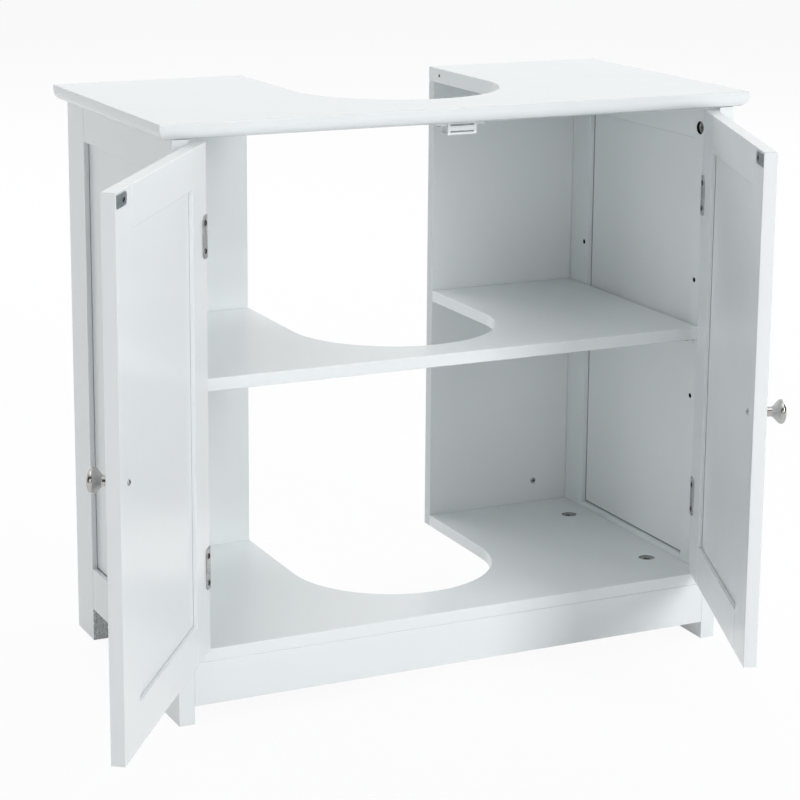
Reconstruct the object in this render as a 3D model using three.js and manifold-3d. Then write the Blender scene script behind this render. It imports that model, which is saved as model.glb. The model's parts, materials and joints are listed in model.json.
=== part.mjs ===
// Freestanding under-basin cabinet: a white painted board carcass that stands round a basin
// pedestal, with a U-shaped cut-out through the top, the shelf and the bottom, framed sides and
// two inset framed doors on small wrap-round hinges. The doors are shown open.
//
// Units are millimetres and +Z is up. The front faces -Y and left is -X. The carcass is drawn
// about its own middle, and the whole group is then shifted so that the origin is the middle of
// the rear left foot's sole.
import * as THREE from "three";
import { mergeVertices } from "three/addons/utils/BufferGeometryUtils.js";
import Module from "manifold-3d";

const wasm = await Module();
wasm.setup();

// ---------------------------------------------------------------- driving dimensions
// Whole cabinet
const cabinetWidth = 600;
const cabinetDepth = 300;
const cabinetHeight = 552;
const thickBoard = 15;
const thinBoard = 12;

// Top: a 5 mm upright band over a quarter-round, on the front and both ends
const sideOverhang = 14;
const frontOverhang = 7;
const topEdgeBand = 5;
const topEdgeRound = thickBoard - topEdgeBand;

// Pedestal cut-out: straight sides from the back, closed by a half circle at the front
const cutoutHalfWidth = 104;
const cutoutArcCentreY = 20;

// Heights above the floor
const bottomTopLevel = 70;
const kickUndersideLevel = 17;
const shelfTopLevel = 317;
const shelfFrontSetback = 21;
const shelfPlay = 0.8;

// Side frames
const frontStileWidth = 43;
const rearStileWidth = 48;
const sideTopRailHeight = 35;
const sideBottomRailTop = 75;
const sideBottomRailUnderside = 32.5;
const sidePanelThickness = 5;

// Doors
const doorHingeGap = 1.5;
const doorMeetingGap = 2;
const doorEndGap = 2;
const doorStileWidth = 44;
const doorTopRailHeight = 35;
const doorBottomRailHeight = 38;
const doorPanelThickness = 4;
const leftDoorOpening = 125.6;
const rightDoorOpening = 68.1;

// Frame-and-panel joints, and the gap between pieces that only touch
const panelTongue = 4;
const jointGap = 0.3;
const seatGap = 0.2;

// Hinges: pin on the front plane, this far in from the side's inner face
const hingeLevels = { lower: 151, upper: 453 };
const hingePinInset = 3;
const hingeHeight = 38;
const hingeLeafThickness = 1.2;
const hingeBarrelRadius = 2.9;
const hingeBoreRadius = 1.5;
const hingePinRadius = 1.2;
const hingePinHeadRadius = 2.3;
const hingePinHeadHeight = 0.8;
const hingeFrameLeafDepth = 20;
const hingeDoorLeafWidth = 14;
const hingeLeafCorner = 3.5;
const hingeWrapRadius = 2;
const knuckleGap = 0.4;
const barrelClearance = 0.4;

// Knobs
const knobFromFreeEdge = 21.5;
const knobBelowMiddle = 1.7;
const knobProjection = 21.3;
const knobHeadRadius = 11.2;
const knobNeckRadius = 4.5;
const knobFlangeRadius = 5.8;
const knobScrewRadius = 1.8;
const knobScrewHeadRadius = 3;
const knobScrewHeadHeight = 1.8;
const knobThreadDepth = 8;

// Magnetic catch and its strike plates
const catchWidth = 29.5;
const catchHeight = 12.6;
const catchDepth = 13;
const catchOffCentre = 0.8;
const catchWall = 1.6;
const catchSideRecess = 1;
const catchEarSpan = 52;
const catchEarDepth = 10;
const catchEarThickness = 4;
const poleWidth = 23.8;
const poleThickness = 1;
const polePitch = 6;
const polesBelowTop = 6.7;
const poleDepth = 10;
const poleReach = 0.4;
const strikeLength = 24.5;
const strikeHeight = 11;
const strikeCorner = 4;
const strikeThickness = 0.8;
const strikeFromFreeEdge = 2.5;
const strikeFromDoorTop = 2;

// Fixings let into the boards
const pinHoleY = { front: -107.5, rear: 110 };
const pinHolePitch = 59;
const shelfPinRadius = 2.3;
const shelfPinCollarRadius = 4;
const shelfPinCollar = 1.5;
const shelfPinDepth = 8;
const shelfPinReach = 8;
const shelfPinPlay = 0.1;
const sideCam = { radius: 6, depth: 12, sunk: 2.8 };
const bottomCam = { radius: 7.5, depth: 9.5, sunk: 0.9 };
const camBoreGap = 0.4;
const camRimWidth = 0.8;
const camSlotShare = 0.55;
const camSlotWidth = 1.6;
const camSlotDepth = 2.5;
const sideCamBelowTop = 24;
const sideCamY = { front: -109, rear: 113 };
const bottomCamFromSide = 27.5;
const bottomCamInset = 80;

// ---------------------------------------------------------------- derived planes
const carcassHalfWidth = cabinetWidth / 2 - sideOverhang;
const innerHalfWidth = carcassHalfWidth - thickBoard;
const backPlane = cabinetDepth / 2;
const frontPlane = -backPlane + frontOverhang;
const backPanelFace = backPlane - thinBoard;
const topUnderside = cabinetHeight - thickBoard;
const bottomUnderside = bottomTopLevel - thinBoard;
const shelfUnderside = shelfTopLevel - thinBoard;
const shelfPinLevel = shelfUnderside - shelfPinRadius - shelfPinPlay;
const doorWidth = innerHalfWidth - doorHingeGap - doorMeetingGap / 2;
const doorBottom = bottomTopLevel + doorEndGap;
const doorTop = topUnderside - doorEndGap;
const footSoleX = -carcassHalfWidth + thickBoard / 2;
const footSoleY = backPlane - rearStileWidth / 2;

// ---------------------------------------------------------------- finishes
const finish = (color, roughness, metalness) => ({ color, roughness, metalness });
const whitePaint = finish(0xf1f3f4, 0.42, 0);
const whitePlastic = finish(0xe6e6e0, 0.5, 0);
const polishedNickel = finish(0xbab6ae, 0.16, 1);
const hingeSteel = finish(0x8c8f92, 0.32, 1);
const strikeSteel = finish(0x76808a, 0.35, 1);
const zincAlloy = finish(0xa4a49e, 0.42, 1);
const darkMagnet = finish(0x2b2b2d, 0.7, 0.2);

// ---------------------------------------------------------------- solids and booleans
const SIDES = { left: -1, right: 1 };
const cabinet = new THREE.Group();

// A closed geometry as a solid that can be cut and joined.
function toSolid(geometry) {
  const bare = geometry.clone();
  bare.deleteAttribute("normal");
  bare.deleteAttribute("uv");
  const merged = mergeVertices(bare, 1e-4);
  const mesh = new wasm.Mesh({
    numProp: 3,
    vertProperties: new Float32Array(merged.attributes.position.array),
    triVerts: new Uint32Array(merged.index.array),
  });
  return new wasm.Manifold(mesh);
}

// A solid as a geometry that a mesh can carry.
function toGeometry(solid) {
  const mesh = solid.getMesh();
  const geometry = new THREE.BufferGeometry();
  geometry.setAttribute("position", new THREE.BufferAttribute(mesh.vertProperties, 3));
  geometry.setIndex(new THREE.BufferAttribute(mesh.triVerts, 1));
  geometry.computeVertexNormals();
  return geometry;
}

// The first geometry with every other one taken away from it.
function cutAway(geometry, ...tools) {
  let solid = toSolid(geometry);
  for (const tool of tools) {
    solid = solid.subtract(toSolid(tool));
  }
  return toGeometry(solid);
}

// Several overlapping geometries as one body.
function joined(...geometries) {
  let solid = toSolid(geometries[0]);
  for (const geometry of geometries.slice(1)) {
    solid = solid.add(toSolid(geometry));
  }
  return toGeometry(solid);
}

// What several geometries have in common.
function common(...geometries) {
  let solid = toSolid(geometries[0]);
  for (const geometry of geometries.slice(1)) {
    solid = solid.intersect(toSolid(geometry));
  }
  return toGeometry(solid);
}

// A board between two opposite corners, given as ranges along X, Y and Z in either order.
function board([x0, x1], [y0, y1], [z0, z1]) {
  const geometry = new THREE.BoxGeometry(Math.abs(x1 - x0), Math.abs(y1 - y0), Math.abs(z1 - z0));
  return geometry.translate((x0 + x1) / 2, (y0 + y1) / 2, (z0 + z1) / 2);
}

// A plan outline (X, Y) raised from one level to another.
function raised(shape, bottom, top) {
  const geometry = new THREE.ExtrudeGeometry(shape, {
    depth: top - bottom,
    bevelEnabled: false,
    curveSegments: 12,
  });
  return geometry.translate(0, 0, bottom);
}

// An elevation outline drawn as (Y, Z), run along X between two stations.
function alongX(shape, x0, x1) {
  const geometry = new THREE.ExtrudeGeometry(shape, { depth: Math.abs(x1 - x0), bevelEnabled: false });
  const toElevation = new THREE.Matrix4().makeBasis(
    new THREE.Vector3(0, 1, 0),
    new THREE.Vector3(0, 0, 1),
    new THREE.Vector3(1, 0, 0),
  );
  return geometry.applyMatrix4(toElevation).translate(Math.min(x0, x1), 0, 0);
}

// An elevation outline drawn as (X, Z), run along Y between two stations.
function alongY(shape, y0, y1) {
  const geometry = new THREE.ExtrudeGeometry(shape, {
    depth: Math.abs(y1 - y0),
    bevelEnabled: false,
    curveSegments: 6,
  });
  return geometry.rotateX(Math.PI / 2).translate(0, Math.max(y0, y1), 0);
}

// A round bar with its axis along X, Y or Z, centred on a point.
function roundBar(axis, radius, length, [x, y, z], segments = 16) {
  const geometry = new THREE.CylinderGeometry(radius, radius, length, segments);
  if (axis === "x") {
    geometry.rotateZ(Math.PI / 2);
  }
  if (axis === "z") {
    geometry.rotateX(Math.PI / 2);
  }
  return geometry.translate(x, y, z);
}

// Hangs one named piece, with a finish of its own, on a group.
function addPiece(parent, name, geometry, look) {
  const mesh = new THREE.Mesh(geometry, new THREE.MeshStandardMaterial(look));
  mesh.name = name;
  parent.add(mesh);
}

// ---------------------------------------------------------------- boards with the cut-out
// Plan of a board that runs round the pedestal, open at its back edge.
function boardWithCutout(halfWidth, front, back) {
  const shape = new THREE.Shape();
  shape.moveTo(-halfWidth, front);
  shape.lineTo(halfWidth, front);
  shape.lineTo(halfWidth, back);
  shape.lineTo(cutoutHalfWidth, back);
  shape.lineTo(cutoutHalfWidth, cutoutArcCentreY);
  shape.absarc(0, cutoutArcCentreY, cutoutHalfWidth, 0, -Math.PI, true);
  shape.lineTo(-cutoutHalfWidth, back);
  shape.lineTo(-halfWidth, back);
  shape.closePath();
  return shape;
}

function cutoutBoard(halfWidth, front, back, bottom, top) {
  const geometry = new THREE.ExtrudeGeometry(boardWithCutout(halfWidth, front, back), {
    depth: top - bottom,
    bevelEnabled: false,
    curveSegments: 40,
  });
  return geometry.translate(0, 0, bottom);
}

// Section of the moulded edge: starts at the underside `inset` in from the edge and climbs the
// quarter-round to the upright band. `edge` is the edge's coordinate, `outward` is -1 or 1.
function mouldedCorner(shape, edge, outward) {
  const centre = edge - outward * topEdgeRound;
  const steps = 8;
  for (let i = 0; i <= steps; i += 1) {
    const turn = (Math.PI / 2) * (i / steps);
    shape.push(new THREE.Vector2(
      centre + outward * topEdgeRound * Math.sin(turn),
      topUnderside + topEdgeRound * (1 - Math.cos(turn)),
    ));
  }
}

// The top: its plan, cut by the front edge's section along X and the ends' section along Y,
// so the mouldings meet in mitres at the two front corners.
function topPanel() {
  const halfWidth = cabinetWidth / 2;
  const plan = cutoutBoard(halfWidth, -backPlane, backPlane, topUnderside, cabinetHeight);

  const frontSection = [];
  mouldedCorner(frontSection, -backPlane, -1);
  frontSection.push(new THREE.Vector2(-backPlane, cabinetHeight));
  frontSection.push(new THREE.Vector2(backPlane, cabinetHeight));
  frontSection.push(new THREE.Vector2(backPlane, topUnderside));

  const leftEnd = [];
  const rightEnd = [];
  mouldedCorner(leftEnd, -halfWidth, -1);
  mouldedCorner(rightEnd, halfWidth, 1);
  const endSection = [
    ...leftEnd,
    new THREE.Vector2(-halfWidth, cabinetHeight),
    new THREE.Vector2(halfWidth, cabinetHeight),
    ...rightEnd.reverse(),
  ];

  return common(
    plan,
    alongX(new THREE.Shape(frontSection), -halfWidth, halfWidth),
    alongY(new THREE.Shape(endSection), -backPlane, backPlane),
  );
}

// The bore that a cam lock drops into, from the bottom panel's upper face.
function bottomCamBore(x, y) {
  const depth = bottomCam.depth + jointGap;
  const radius = bottomCam.radius + camBoreGap;
  return roundBar("z", radius, depth, [x, y, bottomTopLevel - depth / 2], 32);
}

const bottomCamX = innerHalfWidth - bottomCamFromSide;
const bottomCamPlaces = [
  [-bottomCamX, -bottomCamInset],
  [-bottomCamX, bottomCamInset],
  [bottomCamX, -bottomCamInset],
  [bottomCamX, bottomCamInset],
];

addPiece(cabinet, "top_panel", topPanel(), whitePaint);

addPiece(
  cabinet,
  "bottom_panel",
  cutAway(
    cutoutBoard(innerHalfWidth, frontPlane, backPanelFace, bottomUnderside, bottomTopLevel),
    ...bottomCamPlaces.map(([x, y]) => bottomCamBore(x, y)),
  ),
  whitePaint,
);

addPiece(
  cabinet,
  "shelf",
  cutoutBoard(
    innerHalfWidth - shelfPlay,
    frontPlane + shelfFrontSetback,
    backPanelFace - shelfPlay,
    shelfUnderside,
    shelfTopLevel,
  ),
  whitePaint,
);

addPiece(
  cabinet,
  "kick_rail",
  board(
    [-innerHalfWidth, innerHalfWidth],
    [frontPlane, frontPlane + thinBoard],
    [kickUndersideLevel, bottomUnderside],
  ),
  whitePaint,
);

for (const [name, side] of Object.entries(SIDES)) {
  addPiece(
    cabinet,
    `back_panel_${name}`,
    board(
      [side * cutoutHalfWidth, side * innerHalfWidth],
      [backPanelFace, backPlane],
      [bottomUnderside, topUnderside],
    ),
    whitePaint,
  );
}

// ---------------------------------------------------------------- framed sides
const sideRailTopUnderside = topUnderside - sideTopRailHeight;
const frontStileEdge = frontPlane + frontStileWidth;
const rearStileEdge = backPlane - rearStileWidth;
const pinHoleLevels = [-1, 0, 1].map((step) => shelfPinLevel + step * pinHolePitch);

// The slot that holds the panel: it runs round the inside of the frame, in mid thickness.
function sidePanelSlot(side) {
  const middle = side * (innerHalfWidth + thickBoard / 2);
  const half = sidePanelThickness / 2 + jointGap / 2;
  const depth = panelTongue + jointGap;
  return board(
    [middle - half, middle + half],
    [frontStileEdge - depth, rearStileEdge + depth],
    [sideBottomRailTop - depth, sideRailTopUnderside + depth],
  );
}

// Shelf pin holes and the cam lock bore, all drilled from the stile's inner face.
function stileBores(side, pinY, camY) {
  const innerFace = side * innerHalfWidth;
  const holeDepth = shelfPinDepth + 1;
  const camDepth = sideCam.depth + jointGap;
  const bores = pinHoleLevels.map((level) => roundBar(
    "x",
    shelfPinRadius + seatGap,
    holeDepth,
    [innerFace + side * holeDepth / 2, pinY, level],
  ));
  bores.push(roundBar(
    "x",
    sideCam.radius + camBoreGap,
    camDepth,
    [innerFace + side * camDepth / 2, camY, topUnderside - sideCamBelowTop],
    32,
  ));
  return bores;
}

for (const [name, side] of Object.entries(SIDES)) {
  const acrossSide = [side * innerHalfWidth, side * carcassHalfWidth];
  const railSpan = [frontStileEdge + jointGap, rearStileEdge - jointGap];
  const slot = sidePanelSlot(side);

  addPiece(
    cabinet,
    `side_${name}_front_stile`,
    cutAway(
      board(acrossSide, [frontPlane, frontStileEdge], [0, topUnderside]),
      slot,
      ...stileBores(side, pinHoleY.front, sideCamY.front),
    ),
    whitePaint,
  );
  addPiece(
    cabinet,
    `side_${name}_rear_stile`,
    cutAway(
      board(acrossSide, [rearStileEdge, backPlane], [0, topUnderside]),
      slot,
      ...stileBores(side, pinHoleY.rear, sideCamY.rear),
    ),
    whitePaint,
  );
  addPiece(
    cabinet,
    `side_${name}_top_rail`,
    cutAway(board(acrossSide, railSpan, [sideRailTopUnderside, topUnderside]), slot),
    whitePaint,
  );
  addPiece(
    cabinet,
    `side_${name}_bottom_rail`,
    cutAway(board(acrossSide, railSpan, [sideBottomRailUnderside, sideBottomRailTop]), slot),
    whitePaint,
  );

  const middle = side * (innerHalfWidth + thickBoard / 2);
  addPiece(
    cabinet,
    `side_${name}_panel`,
    board(
      [middle - sidePanelThickness / 2, middle + sidePanelThickness / 2],
      [frontStileEdge - panelTongue, rearStileEdge + panelTongue],
      [sideBottomRailTop - panelTongue, sideRailTopUnderside + panelTongue],
    ),
    whitePaint,
  );
}

// ---------------------------------------------------------------- cam locks and shelf pins
// A cam lock: a round zinc barrel with a raised rim and a crossed screwdriver slot in its face.
// It is drawn upright, sunk a little in a bore whose mouth is at height 0.
function camLock({ radius, depth, sunk }) {
  const rimHeight = 0.6;
  const profile = [
    new THREE.Vector2(0, -depth),
    new THREE.Vector2(radius, -depth),
    new THREE.Vector2(radius, -sunk),
    new THREE.Vector2(radius - camRimWidth, -sunk),
    new THREE.Vector2(radius - camRimWidth - 0.6, -sunk - rimHeight),
    new THREE.Vector2(0, -sunk - rimHeight),
  ];
  const barrel = new THREE.LatheGeometry(profile, 32).rotateX(Math.PI / 2);
  const slotFloor = [-sunk - rimHeight - camSlotDepth, 1];
  const longWay = [-radius * camSlotShare, radius * camSlotShare];
  const narrowWay = [-camSlotWidth / 2, camSlotWidth / 2];
  return cutAway(
    barrel,
    board(longWay, narrowWay, slotFloor),
    board(narrowWay, longWay, slotFloor),
  );
}

bottomCamPlaces.forEach(([x, y]) => {
  const sideName = x < 0 ? "left" : "right";
  const endName = y < 0 ? "front" : "rear";
  const geometry = camLock(bottomCam).translate(x, y, bottomTopLevel);
  addPiece(cabinet, `cam_lock_bottom_${sideName}_${endName}`, geometry, zincAlloy);
});

for (const [name, side] of Object.entries(SIDES)) {
  for (const endName of ["front", "rear"]) {
    const cam = camLock(sideCam).rotateY(-side * Math.PI / 2);
    cam.translate(side * innerHalfWidth, sideCamY[endName], topUnderside - sideCamBelowTop);
    addPiece(cabinet, `cam_lock_top_${name}_${endName}`, cam, zincAlloy);

    // A shelf pin: a collar against the stile, a shank in its hole and a peg under the shelf.
    const pinProfile = [
      new THREE.Vector2(0, -shelfPinDepth),
      new THREE.Vector2(shelfPinRadius, -shelfPinDepth),
      new THREE.Vector2(shelfPinRadius, 0),
      new THREE.Vector2(shelfPinCollarRadius, 0),
      new THREE.Vector2(shelfPinCollarRadius, shelfPinCollar),
      new THREE.Vector2(shelfPinRadius, shelfPinCollar),
      new THREE.Vector2(shelfPinRadius, shelfPinReach - 0.8),
      new THREE.Vector2(shelfPinRadius - 0.8, shelfPinReach),
      new THREE.Vector2(0, shelfPinReach),
    ];
    const pin = new THREE.LatheGeometry(pinProfile, 20).rotateZ(side * Math.PI / 2);
    const pinPlace = [side * innerHalfWidth, pinHoleY[endName], shelfPinLevel];
    const aroundPin = [pinHoleY[endName] - 6, pinHoleY[endName] + 6];
    const underShelf = board(
      [side * (innerHalfWidth - shelfPinReach - 1), side * (innerHalfWidth + 1)],
      aroundPin,
      [shelfPinLevel - 6, shelfUnderside - shelfPinPlay],
    );
    const inHole = board(
      [side * innerHalfWidth, side * (innerHalfWidth + shelfPinDepth + 1)],
      aroundPin,
      [shelfPinLevel - 6, shelfPinLevel + 6],
    );
    addPiece(
      cabinet,
      `shelf_pin_${name}_${endName}`,
      common(pin.translate(...pinPlace), joined(underShelf, inHole)),
      polishedNickel,
    );
  }
}

// ---------------------------------------------------------------- framed doors
// A door is drawn shut about its own hinge pin: x runs from the pin towards the middle of the
// cabinet for the left door and the other way for the right, y runs back from the outer face.
const doorHingeEdge = doorHingeGap - hingePinInset;
const doorFreeEdge = doorHingeEdge + doorWidth;
const doorRailTopUnderside = doorTop - doorTopRailHeight;
const doorRailBottomTop = doorBottom + doorBottomRailHeight;
const knobX = doorFreeEdge - knobFromFreeEdge;
const knobLevel = (doorBottom + doorTop) / 2 - knobBelowMiddle;

// The slot round the inside of a door frame that holds its panel.
function doorPanelSlot(inward) {
  const half = doorPanelThickness / 2 + jointGap / 2;
  const depth = panelTongue + jointGap;
  return board(
    [
      inward * (doorHingeEdge + doorStileWidth - depth),
      inward * (doorFreeEdge - doorStileWidth + depth),
    ],
    [thinBoard / 2 - half, thinBoard / 2 + half],
    [doorRailBottomTop - depth, doorRailTopUnderside + depth],
  );
}

// What is cut from the hinge stile: a round notch for the barrel, and a shallow bed in the edge
// for the leaf that wraps round to the inner face.
function hingeBeds(inward) {
  const bedDepth = hingeLeafThickness + seatGap + 0.1;
  return Object.values(hingeLevels).flatMap((level) => [
    roundBar(
      "z",
      hingeBarrelRadius + barrelClearance,
      hingeHeight + 2 * (hingePinHeadHeight + barrelClearance),
      [0, 0, level],
      24,
    ),
    board(
      [inward * (doorHingeEdge - 1), inward * (doorHingeEdge + bedDepth)],
      [-1, thinBoard + 1],
      [level - hingeHeight / 2 - seatGap, level + hingeHeight / 2 + seatGap],
    ),
  ]);
}

// A mushroom knob turned about its own axis: flange, straight neck, flared head and domed face.
function knobGeometry() {
  const profile = [
    [0, 0],
    [knobFlangeRadius, 0],
    [knobFlangeRadius, 0.7],
    [knobFlangeRadius - 0.6, 1.2],
    [knobNeckRadius, 1.4],
    [knobNeckRadius, 8.4],
    [knobNeckRadius + 1.1, 10],
    [knobHeadRadius - 4.1, 11.4],
    [knobHeadRadius - 2.6, 12.7],
    [knobHeadRadius - 1.2, 14],
    [knobHeadRadius - 0.3, 15.5],
    [knobHeadRadius, 17],
    [knobHeadRadius - 0.1, 18],
    [knobHeadRadius - 1, 19.2],
    [knobHeadRadius - 3, 20.2],
    [knobHeadRadius - 6, 20.9],
    [0, knobProjection],
  ].map(([radius, height]) => new THREE.Vector2(radius, height));
  const body = new THREE.LatheGeometry(profile, 36);
  const thread = roundBar("y", knobScrewRadius + seatGap, 2 * knobThreadDepth, [0, 0, 0]);
  return cutAway(body, thread).rotateX(Math.PI);
}

// The knob's screw: a flat round head on the door's inner face and a shank through the stile.
function knobScrewGeometry() {
  const shankEnd = knobThreadDepth - 1;
  const profile = [
    [0, -thinBoard - seatGap - knobScrewHeadHeight],
    [knobScrewHeadRadius - 1, -thinBoard - seatGap - knobScrewHeadHeight],
    [knobScrewHeadRadius, -thinBoard - seatGap - knobScrewHeadHeight / 2],
    [knobScrewHeadRadius, -thinBoard - seatGap],
    [knobScrewRadius, -thinBoard - seatGap],
    [knobScrewRadius, shankEnd],
    [0, shankEnd],
  ].map(([radius, height]) => new THREE.Vector2(radius, height));
  return new THREE.LatheGeometry(profile, 20).rotateX(Math.PI);
}

// A strike plate lies on the door's inner face: square towards the meeting edge, with two rounded
// corners at its other end.
function strikeGeometry(inward) {
  const square = doorFreeEdge - strikeFromFreeEdge;
  const round = square - strikeLength;
  const top = doorTop - strikeFromDoorTop;
  const bottom = top - strikeHeight;
  const outline = new THREE.Shape();
  outline.moveTo(inward * square, bottom);
  outline.lineTo(inward * square, top);
  outline.lineTo(inward * (round + strikeCorner), top);
  outline.quadraticCurveTo(inward * round, top, inward * round, top - strikeCorner);
  outline.lineTo(inward * round, bottom + strikeCorner);
  outline.quadraticCurveTo(inward * round, bottom, inward * (round + strikeCorner), bottom);
  outline.closePath();
  const innerFace = thinBoard + seatGap;
  return alongY(outline, innerFace, innerFace + strikeThickness);
}

function buildDoor(name, side, opening) {
  const inward = -side;
  const swing = new THREE.Group();
  swing.position.set(side * (innerHalfWidth - hingePinInset), frontPlane, 0);
  swing.rotation.z = THREE.MathUtils.degToRad(side * opening);
  cabinet.add(swing);

  const slot = doorPanelSlot(inward);
  const throughThickness = [0, thinBoard];
  const fullHeight = [doorBottom, doorTop];
  const railSpan = [
    inward * (doorHingeEdge + doorStileWidth + jointGap),
    inward * (doorFreeEdge - doorStileWidth - jointGap),
  ];

  addPiece(
    swing,
    `door_${name}_hinge_stile`,
    cutAway(
      board(
        [inward * doorHingeEdge, inward * (doorHingeEdge + doorStileWidth)],
        throughThickness,
        fullHeight,
      ),
      slot,
      ...hingeBeds(inward),
    ),
    whitePaint,
  );
  addPiece(
    swing,
    `door_${name}_meeting_stile`,
    cutAway(
      board(
        [inward * (doorFreeEdge - doorStileWidth), inward * doorFreeEdge],
        throughThickness,
        fullHeight,
      ),
      slot,
      roundBar(
        "y",
        knobScrewRadius + 2 * seatGap,
        2 * thinBoard,
        [inward * knobX, thinBoard / 2, knobLevel],
      ),
    ),
    whitePaint,
  );
  addPiece(
    swing,
    `door_${name}_top_rail`,
    cutAway(board(railSpan, throughThickness, [doorRailTopUnderside, doorTop]), slot),
    whitePaint,
  );
  addPiece(
    swing,
    `door_${name}_bottom_rail`,
    cutAway(board(railSpan, throughThickness, [doorBottom, doorRailBottomTop]), slot),
    whitePaint,
  );
  addPiece(
    swing,
    `door_${name}_panel`,
    board(
      [
        inward * (doorHingeEdge + doorStileWidth - panelTongue),
        inward * (doorFreeEdge - doorStileWidth + panelTongue),
      ],
      [(thinBoard - doorPanelThickness) / 2, (thinBoard + doorPanelThickness) / 2],
      [doorRailBottomTop - panelTongue, doorRailTopUnderside + panelTongue],
    ),
    whitePaint,
  );

  const knob = knobGeometry().translate(inward * knobX, -seatGap, knobLevel);
  addPiece(swing, `knob_${name}`, knob, polishedNickel);
  const screw = knobScrewGeometry().translate(inward * knobX, 0, knobLevel);
  addPiece(swing, `knob_screw_${name}`, screw, zincAlloy);
  addPiece(swing, `strike_plate_${name}`, strikeGeometry(inward), strikeSteel);

  for (const [levelName, level] of Object.entries(hingeLevels)) {
    addPiece(
      swing,
      `hinge_${name}_${levelName}_door_leaf`,
      doorLeaf(inward).translate(0, 0, level),
      hingeSteel,
    );
  }
}

// ---------------------------------------------------------------- wrap-round hinges
// Both leaves are drawn about the pin, at height 0, as x towards the cabinet's middle and y back.
const knuckleHeight = (hingeHeight - 2 * knuckleGap) / 3;
const middleKnuckle = [-knuckleHeight / 2, knuckleHeight / 2];
const outerKnuckles = [
  [-hingeHeight / 2, -hingeHeight / 2 + knuckleHeight],
  [hingeHeight / 2 - knuckleHeight, hingeHeight / 2],
];
const leafStart = hingeBarrelRadius + barrelClearance + 0.1;

// One rolled knuckle of the barrel, with the pin's bore through it.
function knuckle([bottom, top]) {
  const profile = [
    new THREE.Vector2(hingeBoreRadius, bottom),
    new THREE.Vector2(hingeBarrelRadius, bottom),
    new THREE.Vector2(hingeBarrelRadius, top),
    new THREE.Vector2(hingeBoreRadius, top),
    new THREE.Vector2(hingeBoreRadius, bottom),
  ];
  return new THREE.LatheGeometry(profile, 24).rotateX(Math.PI / 2);
}

// A plate outline whose two free corners are clipped.
function clippedPlate(start, end) {
  const half = hingeHeight / 2;
  const clip = hingeLeafCorner * Math.sign(end - start);
  return new THREE.Shape([
    new THREE.Vector2(start, -half),
    new THREE.Vector2(end - clip, -half),
    new THREE.Vector2(end, -half + hingeLeafCorner),
    new THREE.Vector2(end, half - hingeLeafCorner),
    new THREE.Vector2(end - clip, half),
    new THREE.Vector2(start, half),
  ]);
}

// The leaf that goes down the door's edge and folds round onto its inner face.
function doorLeaf(inward) {
  const outside = doorHingeEdge + 0.1;
  const inside = outside + hingeLeafThickness;
  const faceInner = thinBoard + seatGap;
  const faceOuter = faceInner + hingeLeafThickness;
  const end = doorHingeEdge + hingeDoorLeafWidth;
  const bend = hingeWrapRadius;
  const section = new THREE.Shape();
  section.moveTo(inward * outside, leafStart);
  section.lineTo(inward * outside, faceOuter - bend);
  section.absarc(
    inward * (outside + bend),
    faceOuter - bend,
    bend,
    inward > 0 ? Math.PI : 0,
    Math.PI / 2,
    inward > 0,
  );
  section.lineTo(inward * end, faceOuter);
  section.lineTo(inward * end, faceInner);
  section.lineTo(inward * inside, faceInner);
  section.lineTo(inward * inside, leafStart);
  section.closePath();
  const folded = raised(section, -hingeHeight / 2, hingeHeight / 2);
  const clipped = common(
    folded,
    alongY(clippedPlate(inward * (outside - 1), inward * end), 0, faceOuter + 1),
  );
  const neck = board(
    [inward * outside, inward * inside],
    [hingeBoreRadius + 0.2, leafStart + 1],
    middleKnuckle,
  );
  return joined(clipped, neck, knuckle(middleKnuckle));
}

// The flat leaf on the side's inner face, with the barrel's two outer knuckles.
function frameLeaf(inward) {
  const againstSide = -hingePinInset;
  const plate = alongX(
    clippedPlate(0, hingeFrameLeafDepth),
    inward * againstSide,
    inward * (againstSide + hingeLeafThickness),
  );
  const relief = board(
    [inward * (againstSide - 1), inward * (againstSide + hingeLeafThickness + 1)],
    [-1, leafStart],
    [middleKnuckle[0] - knuckleGap, middleKnuckle[1] + knuckleGap],
  );
  return joined(cutAway(plate, relief), ...outerKnuckles.map((range) => knuckle(range)));
}

// The pin drops through the three knuckles and hangs by its head on the top one.
function hingePin() {
  const top = hingeHeight / 2;
  const profile = [
    [0, -top],
    [hingePinRadius, -top],
    [hingePinRadius, top],
    [hingePinHeadRadius, top],
    [hingePinHeadRadius, top + hingePinHeadHeight / 2],
    [hingePinHeadRadius - 0.7, top + hingePinHeadHeight],
    [0, top + hingePinHeadHeight],
  ].map(([radius, height]) => new THREE.Vector2(radius, height));
  return new THREE.LatheGeometry(profile, 20).rotateX(Math.PI / 2);
}

for (const [name, side] of Object.entries(SIDES)) {
  for (const [levelName, level] of Object.entries(hingeLevels)) {
    const pinPlace = [side * (innerHalfWidth - hingePinInset), frontPlane, level];
    const leaf = frameLeaf(-side).translate(...pinPlace);
    addPiece(cabinet, `hinge_${name}_${levelName}_frame_leaf`, leaf, hingeSteel);
    const pin = hingePin().translate(...pinPlace);
    addPiece(cabinet, `hinge_${name}_${levelName}_pin`, pin, hingeSteel);
  }
}

buildDoor("left", SIDES.left, leftDoorOpening);
buildDoor("right", SIDES.right, rightDoorOpening);

// ---------------------------------------------------------------- magnetic catch
// The catch hangs under the top: a plastic housing with an ear and a moulded recess on each side,
// two steel pole plates whose edges show in slots in the front, and the magnet that they clasp.
const shutStrikeFace = frontPlane + thinBoard + seatGap + strikeThickness;
const catchFront = shutStrikeFace + seatGap + poleReach;
const catchBack = catchFront + catchDepth;
const catchMiddle = topUnderside - polesBelowTop;
const poleLevels = {
  upper: catchMiddle + polePitch / 2,
  lower: catchMiddle - polePitch / 2,
};

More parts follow.
